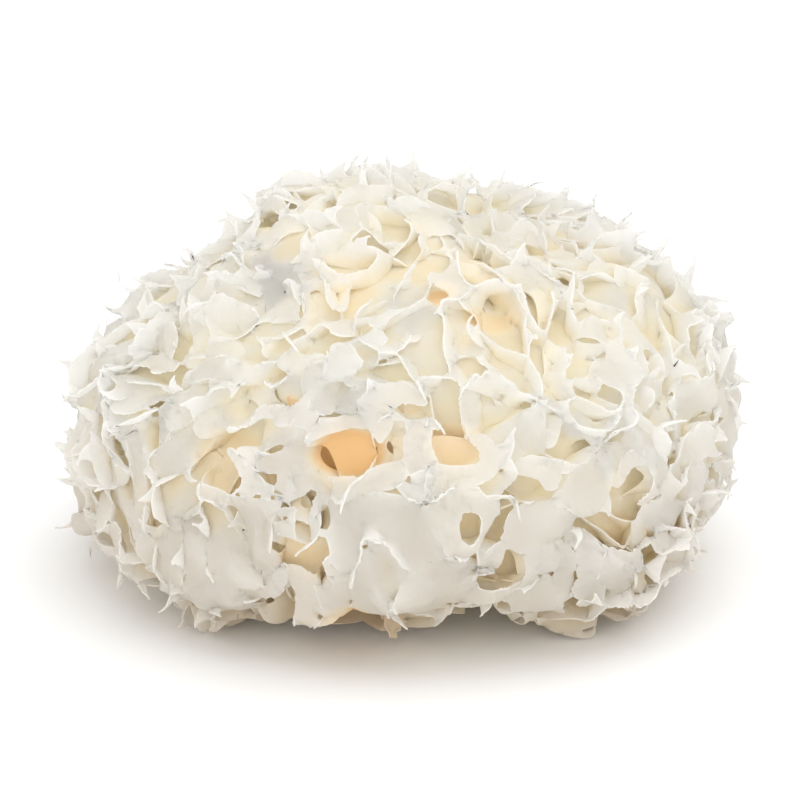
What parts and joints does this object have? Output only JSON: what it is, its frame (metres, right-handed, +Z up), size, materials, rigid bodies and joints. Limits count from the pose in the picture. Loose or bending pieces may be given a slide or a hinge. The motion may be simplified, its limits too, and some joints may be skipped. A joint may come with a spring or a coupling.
{
  "type": "dried snow fungus head",
  "caption": "Dried snow fungus head: a low dome of crisp ruffled fronds with deep pockets between them, resting on its trimmed base.",
  "frame": {"origin": "middle of the flat trimmed base that the head rests on", "axes": "+Z up through the dome, +X along the head's longest side, -Y towards the face seen first"},
  "size_m": [0.1144, 0.1051, 0.0684],
  "materials": {
    "dried_frond": "matte"
  },
  "bodies": {
    "root": {"snow_fungus": "dried_frond"}
  },
  "joints": []
}
